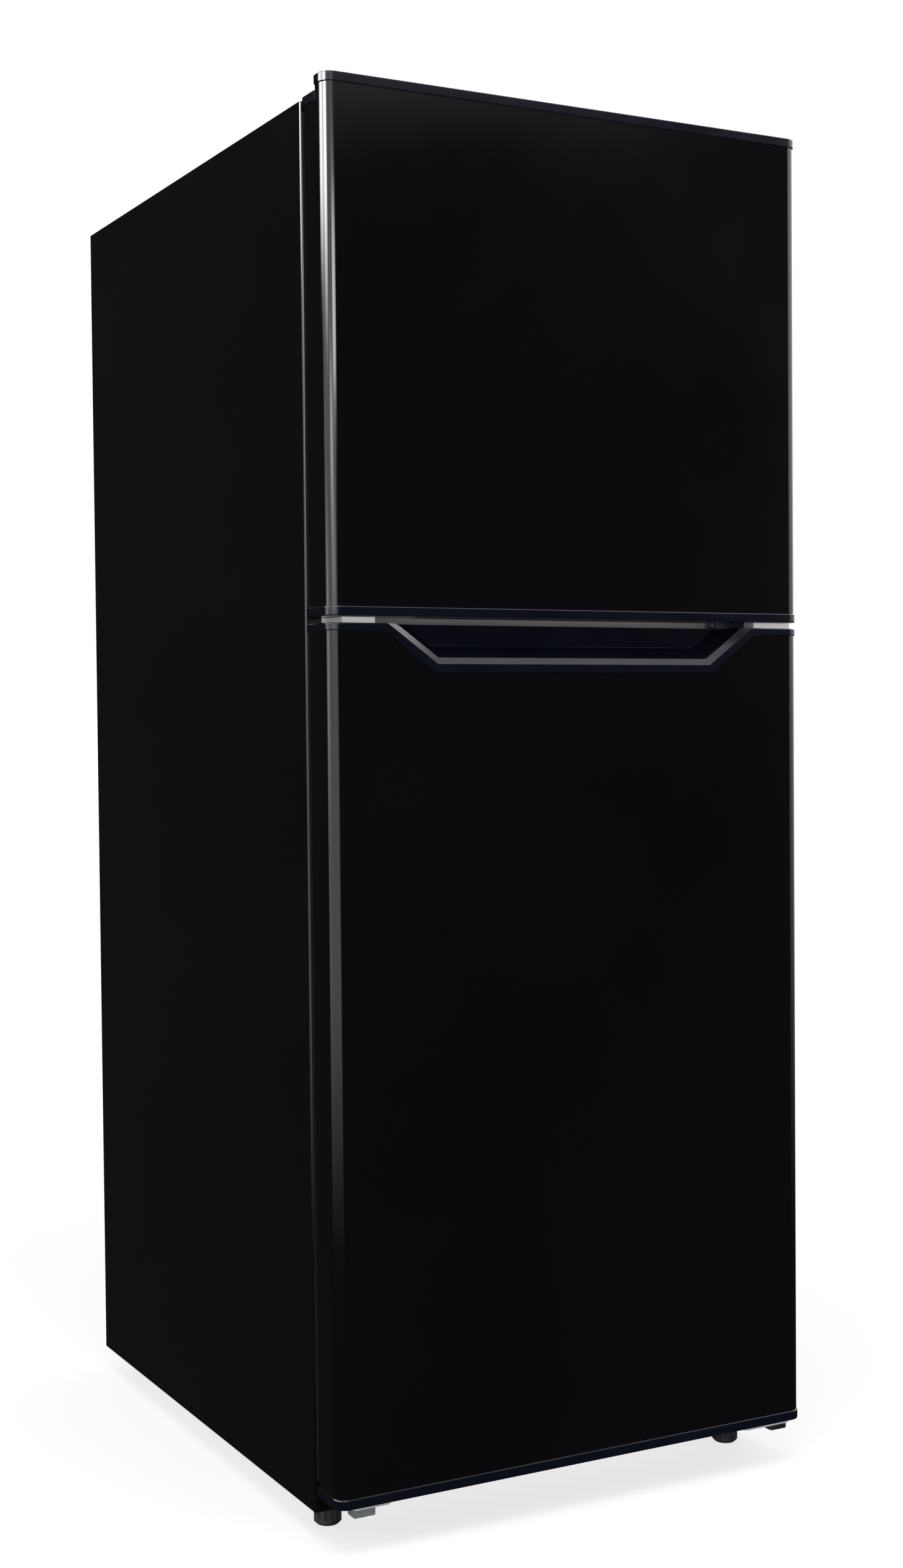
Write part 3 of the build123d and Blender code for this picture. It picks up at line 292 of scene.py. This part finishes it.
def door_paint():
    """High gloss black enamel, finer than the cabinet's."""
    return finish(
        "door_paint", (0.0015, 0.0015, 0.0019), (0.0021, 0.0020, 0.0024),
        mottle=2.4, rough=(0.07, 0.11), texture=480.0, depth=0.000002,
        dust=0.05, shader={"Coat Weight": 0.1, "Coat Roughness": 0.05},
    )


def cap_plastic():
    """Glossy blue-black moulding."""
    return finish(
        "cap_plastic", (0.0017, 0.0023, 0.0056), (0.0025, 0.0032, 0.0074),
        mottle=14.0, rough=(0.10, 0.16), texture=900.0, depth=0.000003,
        edge_wear_and_glint=(0.020, 0.022, 0.032), dust=0.06,
    )


def liner_plastic():
    """Satin white vacuum-formed sheet with a faint stipple."""
    return finish(
        "liner_plastic", (0.80, 0.81, 0.80), (0.86, 0.87, 0.86),
        mottle=5.0, rough=(0.30, 0.42), texture=700.0, depth=0.00002,
        shader={"Subsurface Weight": 0.05, "Subsurface Scale": 0.004},
    )


def foam_cells(tree):
    place = node(tree, "TexCoord").outputs["Object"]
    return node(tree, "TexVoronoi", {"Vector": place, "Scale": 900.0}).outputs["Distance"]


def insulation():
    """Foamed-in polyurethane: straw coloured, with open cells where it is cut."""
    return finish(
        "insulation", (0.72, 0.60, 0.34), (0.86, 0.76, 0.50),
        mottle=18.0, rough=(0.85, 0.95), height=foam_cells, depth=0.0006,
    )


def mullion_paint():
    """Satin grey enamel."""
    return finish(
        "mullion_paint", (0.47, 0.45, 0.45), (0.54, 0.52, 0.52),
        mottle=12.0, rough=(0.32, 0.44), texture=600.0, depth=0.000012,
        edge_wear_and_glint=(0.62, 0.61, 0.60),
    )


def spangle(tree):
    """Zinc crystals a few millimetres across."""
    place = node(tree, "TexCoord").outputs["Object"]
    return node(tree, "TexVoronoi", {"Vector": place, "Scale": 190.0}).outputs["Color"]


def galvanised_steel():
    material = finish(
        "galvanised_steel", (0.50, 0.51, 0.52), (0.66, 0.67, 0.68),
        mottle=60.0, rough=(0.30, 0.52), texture=300.0, depth=0.00002,
        metallic=0.35, edge_wear_and_glint=(0.75, 0.75, 0.75), dust=0.25,
    )
    tree = material.node_tree
    bsdf = tree.nodes["Principled BSDF"]
    plain = bsdf.inputs["Base Color"].links[0].from_socket
    crystals = node(tree, "SeparateColor", {0: spangle(tree)}).outputs[0]
    tree.links.new(
        blend_colours(tree, maths(tree, "MULTIPLY", crystals, 0.45), plain, (0.36, 0.37, 0.39)),
        bsdf.inputs["Base Color"],
    )
    return material


def hinge_steel():
    """Dark passivated steel with a green-grey cast."""
    return finish(
        "hinge_steel", (0.18, 0.25, 0.245), (0.26, 0.32, 0.31),
        mottle=90.0, rough=(0.34, 0.55), texture=800.0, depth=0.00003,
        metallic=0.3, edge_wear_and_glint=(0.32, 0.33, 0.32),
    )


def pale_moulding():
    return finish(
        "pale_moulding", (0.78, 0.77, 0.76), (0.84, 0.83, 0.82),
        mottle=60.0, rough=(0.38, 0.50), texture=1500.0, depth=0.00002,
        edge_wear_and_glint=(0.80, 0.80, 0.78), shader={"Subsurface Weight": 0.08, "Subsurface Scale": 0.003},
    )


def grey_moulding():
    return finish(
        "grey_moulding", (0.100, 0.112, 0.122), (0.135, 0.148, 0.160),
        mottle=60.0, rough=(0.40, 0.52), texture=1500.0, depth=0.00002,
        edge_wear_and_glint=(0.22, 0.23, 0.24),
    )


def black_moulding():
    return finish(
        "black_moulding", (0.005, 0.005, 0.006), (0.010, 0.010, 0.012),
        mottle=60.0, rough=(0.32, 0.48), texture=1400.0, depth=0.00004,
        edge_wear_and_glint=(0.03, 0.03, 0.034), dust=0.08,
    )


def screw_steel():
    """Blackened steel with pale outside edges: partly wear, partly a painted glint on the heads."""
    return finish(
        "screw_steel", (0.070, 0.070, 0.075), (0.140, 0.140, 0.150),
        mottle=400.0, rough=(0.18, 0.34), texture=2500.0, depth=0.00002,
        # the pale outside edges are partly wear and partly a painted glint on the screw heads
        metallic=0.6, edge_wear_and_glint=(0.80, 0.80, 0.80),
    )


def compressor_paint():
    return finish(
        "compressor_paint", (0.012, 0.012, 0.012), (0.026, 0.025, 0.025),
        mottle=30.0, rough=(0.22, 0.40), texture=350.0, depth=0.00006,
        edge_wear_and_glint=(0.20, 0.19, 0.18), dust=0.3,
    )


def rubber():
    """Soft black seal, matt with a dry bloom."""
    return finish(
        "rubber", (0.014, 0.014, 0.015), (0.030, 0.030, 0.031),
        mottle=45.0, rough=(0.50, 0.68), texture=1200.0, depth=0.00002,
        shader={"Sheen Weight": 0.15, "Sheen Roughness": 0.5},
    )


def copper_tube():
    """Drawn tube, browned in patches."""
    return finish(
        "copper_tube", (0.62, 0.30, 0.17), (0.36, 0.17, 0.10),
        mottle=55.0, rough=(0.22, 0.45), texture=700.0, depth=0.00002,
        metallic=1.0,
    )


def fin_aluminium():
    return finish(
        "fin_aluminium", (0.70, 0.71, 0.72), (0.82, 0.83, 0.84),
        mottle=80.0, rough=(0.24, 0.40), texture=500.0, depth=0.00002,
        metallic=1.0, stretch=(1.0, 1.0, 0.1),
    )


def white_moulding():
    return finish(
        "white_moulding", (0.82, 0.83, 0.83), (0.87, 0.88, 0.88),
        mottle=25.0, rough=(0.26, 0.38), texture=1300.0, depth=0.000015,
        shader={"Subsurface Weight": 0.05, "Subsurface Scale": 0.003},
    )


def clear_plastic():
    """Clear polystyrene with flow lines from the mould."""
    return finish(
        "clear_plastic", (0.90, 0.95, 0.97), (0.96, 0.98, 0.99),
        mottle=9.0, rough=(0.04, 0.12), texture=45.0, depth=0.00025,
        stretch=(1.0, 1.0, 0.35), shader={"Transmission Weight": 0.92, "IOR": 1.45},
    )


def shelf_glass():
    """Tempered plate with a green cast."""
    return finish(
        "shelf_glass", (0.80, 0.93, 0.88), (0.86, 0.96, 0.92),
        mottle=6.0, rough=(0.01, 0.05), texture=20.0, depth=0.00005,
        shader={"Transmission Weight": 1.0, "IOR": 1.5},
    )


def frosted_plastic():
    return finish(
        "frosted_plastic", (0.90, 0.90, 0.86), (0.95, 0.95, 0.92),
        mottle=30.0, rough=(0.45, 0.60), texture=1600.0, depth=0.00005,
        shader={"Transmission Weight": 0.6, "IOR": 1.45},
    )


def white_wire():
    """Thick white coating with a slight sag in it."""
    return finish(
        "white_wire", (0.80, 0.80, 0.79), (0.87, 0.87, 0.86),
        mottle=70.0, rough=(0.22, 0.36), texture=260.0, depth=0.0001,
    )


def nylon():
    return finish(
        "nylon", (0.12, 0.12, 0.125), (0.19, 0.19, 0.195),
        mottle=110.0, rough=(0.42, 0.60), texture=1300.0, depth=0.00004,
        edge_wear_and_glint=(0.30, 0.30, 0.30), dust=0.2,
    )


FINISHES = [
    cabinet_paint, door_paint, cap_plastic, liner_plastic, insulation, mullion_paint, galvanised_steel,
    hinge_steel, pale_moulding, grey_moulding, black_moulding, screw_steel, compressor_paint, rubber,
    copper_tube, fin_aluminium, white_moulding, clear_plastic, shelf_glass, frosted_plastic, white_wire,
    nylon,
]
LOOKS = {make.__name__: make() for make in FINISHES}
SLOTS = {part["node"]: part["material_slot"] for part in frame["record"]["subparts"]}


def dress_nodes():
    """Every carried-over node takes the finish of its slot."""
    for name, shape in NODES.items():
        shape.data.materials.clear()
        shape.data.materials.append(LOOKS[SLOTS[name]])


# ---------------------------------------------------------------- rounded edges
# The width of the rounding, and the moulded or pressed parts that get it.
EDGE_ROUNDINGS = {
    0.0006: [
        "freezer_door_top_cap", "freezer_door_bottom_cap", "fridge_door_handle_cap", "fridge_door_bottom_cap",
    ],
    0.0005: [
        "centre_hinge_cover", "unused_hinge_filler", "bottom_hinge_boss", "left_stop_block", "mullion_bar",
    ],
    0.0004: ["bottom_hinge", "left_stop_bracket", "centre_hinge", "top_hinge", "front_bottom_rail"],
}


def round_edges(name, width):
    """Joins the mesh at its edges, merges its flat faces and rounds what is left sharp."""
    shape = NODES[name]
    normals = shape.data.attributes.get("custom_normal")
    if normals is not None:
        shape.data.attributes.remove(normals)
    for face in shape.data.polygons:
        face.use_smooth = True
    shape.modifiers.new("join", "WELD").merge_threshold = 0.00001
    merge = shape.modifiers.new("merge", "DECIMATE")
    merge.decimate_type, merge.angle_limit = "DISSOLVE", radians(0.5)
    bevel = shape.modifiers.new("round", "BEVEL")
    bevel.width, bevel.segments, bevel.limit_method = width, 3, "ANGLE"
    bevel.angle_limit, bevel.harden_normals = radians(28), False
    weigh = shape.modifiers.new("weigh", "WEIGHTED_NORMAL")
    weigh.mode, weigh.weight = "FACE_AREA", 100


# ---------------------------------------------------------------- door gaskets
GASKET_WIDTH = 0.014
# The seal's section, as shares of its width from the inner edge and of its depth from the door: the foot
# on the door's liner, two folds of the bellows and the magnet's flat lip against the cabinet.
GASKET_SECTION = [
    (0.10, 0.00), (0.90, 0.00),
    (0.98, 0.12), (0.82, 0.28), (0.94, 0.44), (0.84, 0.58), (1.00, 0.70), (1.00, 0.94),
    (0.94, 1.00), (0.06, 1.00),
    (0.00, 0.94), (0.00, 0.70), (0.16, 0.58), (0.06, 0.44), (0.18, 0.28), (0.02, 0.12),
]


def make_gasket(name, body):
    """A bellows seal with mitred corners, in place of the plain ring of this name."""
    low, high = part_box(name)
    shape = bmesh.new()
    corners = []
    for side, level in ((-1, -1), (1, -1), (1, 1), (-1, 1)):
        edge_x, edge_z = (low.x if side < 0 else high.x), (low.z if level < 0 else high.z)
        corner = []
        for out, deep in GASKET_SECTION:
            inset = GASKET_WIDTH * (1 - out)
            place = (edge_x - side * inset, low.y + (high.y - low.y) * deep, edge_z - level * inset)
            corner.append(shape.verts.new(place))
        corners.append(corner)
    for corner, following in zip(corners, corners[1:] + corners[:1]):
        for i in range(len(corner)):
            shape.faces.new((corner[i - 1], corner[i], following[i], following[i - 1]))
    bmesh.ops.recalc_face_normals(shape, faces=shape.faces)
    seal = add_piece(name + "_bellows", shape, LOOKS["rubber"])
    soften(seal, 0.0004, 2)
    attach(seal, body)
    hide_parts(name)


# ---------------------------------------------------------------- back panel
PRESSING_MARGIN, PRESSING_SLOPE, PRESSING_DEPTH = 0.028, 0.003, 0.0006
RIB_COUNT, RIB_HALF = 5, 0.009


def pressed(value, ends):
    """0 outside the ends, 1 inside them past the slope, and straight between."""
    return max(0.0, min(1.0, (value - ends[0]) / PRESSING_SLOPE, (ends[1] - value) / PRESSING_SLOPE))


def folds(ends):
    """Where the sheet bends: at the ends and where the slopes meet the level part."""
    return {ends[0], ends[0] + PRESSING_SLOPE, ends[1] - PRESSING_SLOPE, ends[1]}


def make_back_panel():
    """The rear sheet with a shallow sunk field and upright ribs that stand back up in it."""
    low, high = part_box("back_panel")
    field_x = (low.x + PRESSING_MARGIN, high.x - PRESSING_MARGIN)
    field_z = (low.z + PRESSING_MARGIN, high.z - PRESSING_MARGIN)
    rib_z = (field_z[0] + 2 * PRESSING_MARGIN, field_z[1] - 2 * PRESSING_MARGIN)
    spacing = (field_x[1] - field_x[0]) / (RIB_COUNT + 1)
    middles = [field_x[0] + spacing * (i + 1) for i in range(RIB_COUNT)]
    ribs_x = [(middle - RIB_HALF, middle + RIB_HALF) for middle in middles]

    def sunk(x, z):
        field = min(pressed(x, field_x), pressed(z, field_z))
        rib = min(max(pressed(x, rib_x) for rib_x in ribs_x), pressed(z, rib_z))
        return PRESSING_DEPTH * (field - rib)

    lines_x = {low.x, high.x}.union(folds(field_x), *(folds(rib_x) for rib_x in ribs_x))
    lines_z = {low.z, high.z}.union(folds(field_z), folds(rib_z))
    shape = bmesh.new()
    rows = [
        [shape.verts.new((x, high.y - sunk(x, z), z)) for x in sorted(lines_x)] for z in sorted(lines_z)
    ]
    for lower, upper in zip(rows, rows[1:]):
        for i in range(len(lower) - 1):
            shape.faces.new((lower[i + 1], lower[i], upper[i], upper[i + 1]))
    panel = add_piece("back_panel_pressing", shape, LOOKS[SLOTS["back_panel"]])
    sheet = panel.modifiers.new("sheet", "SOLIDIFY")
    sheet.thickness, sheet.offset = high.y - low.y - PRESSING_DEPTH, -1.0
    soften(panel, 0.0008, 3, radians(6))
    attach(panel, "cabinet")
    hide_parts("back_panel")


# ---------------------------------------------------------------- thermostat dial
DIAL_MARKS, DIAL_SWEEP = 7, radians(270)
STROKE_WIDTH, STROKE_HEIGHT, STROKE_SUNK = 0.0009, 0.0006, 0.0001
STROKE_START, STROKE_GROWTH = 0.0014, 0.0003
DIAL_GAP = 0.0012        # between the knob and the strokes


def make_dial_marks():
    """Raised strokes round the thermostat knob that lengthen from the warmest to the coldest setting."""
    low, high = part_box("thermostat_knob")
    middle = (low + high) / 2
    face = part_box("lamp_lens")[0].y      # the lens is flush with the control box's front
    depth = face + STROKE_SUNK - STROKE_HEIGHT / 2
    radius = (high.x - low.x) / 2 + DIAL_GAP
    shape = bmesh.new()
    for i in range(DIAL_MARKS):
        turn = DIAL_SWEEP * (i / (DIAL_MARKS - 1) - 0.5)
        length = STROKE_START + STROKE_GROWTH * i
        stroke = bmesh.ops.create_cube(shape, size=1.0)["verts"]
        bmesh.ops.scale(shape, verts=stroke, vec=(STROKE_WIDTH, STROKE_HEIGHT, length))
        bmesh.ops.translate(shape, verts=stroke, vec=(0, 0, radius + length / 2))
        bmesh.ops.rotate(shape, verts=stroke, matrix=Matrix.Rotation(turn, 3, "Y"))
        bmesh.ops.translate(shape, verts=stroke, vec=(middle.x, depth, middle.z))
    marks = add_piece("thermostat_dial_marks", shape, LOOKS["grey_moulding"])
    soften(marks, 0.0002, 2)
    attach(marks, "cabinet")


# ---------------------------------------------------------------- finish
make_camera()
make_world()
make_floor()
make_softbox("top_light", (-0.5, -1.3, 3.8), (0.0, 0.0, 0.0), 2.6, 1.8, 90.0, True)
make_softbox("front_light", (1.2, -3.7, 1.1), (0.0, -0.35, 0.9), 1.6, 1.6, 25.0, False)
dress_nodes()
for width, names in EDGE_ROUNDINGS.items():
    for name in names:
        round_edges(name, width)
make_gasket("freezer_door_gasket", "freezer_door")
make_gasket("fridge_door_gasket", "fridge_door")
make_back_panel()
make_dial_marks()

bpy.context.scene.view_settings.view_transform = "Standard"
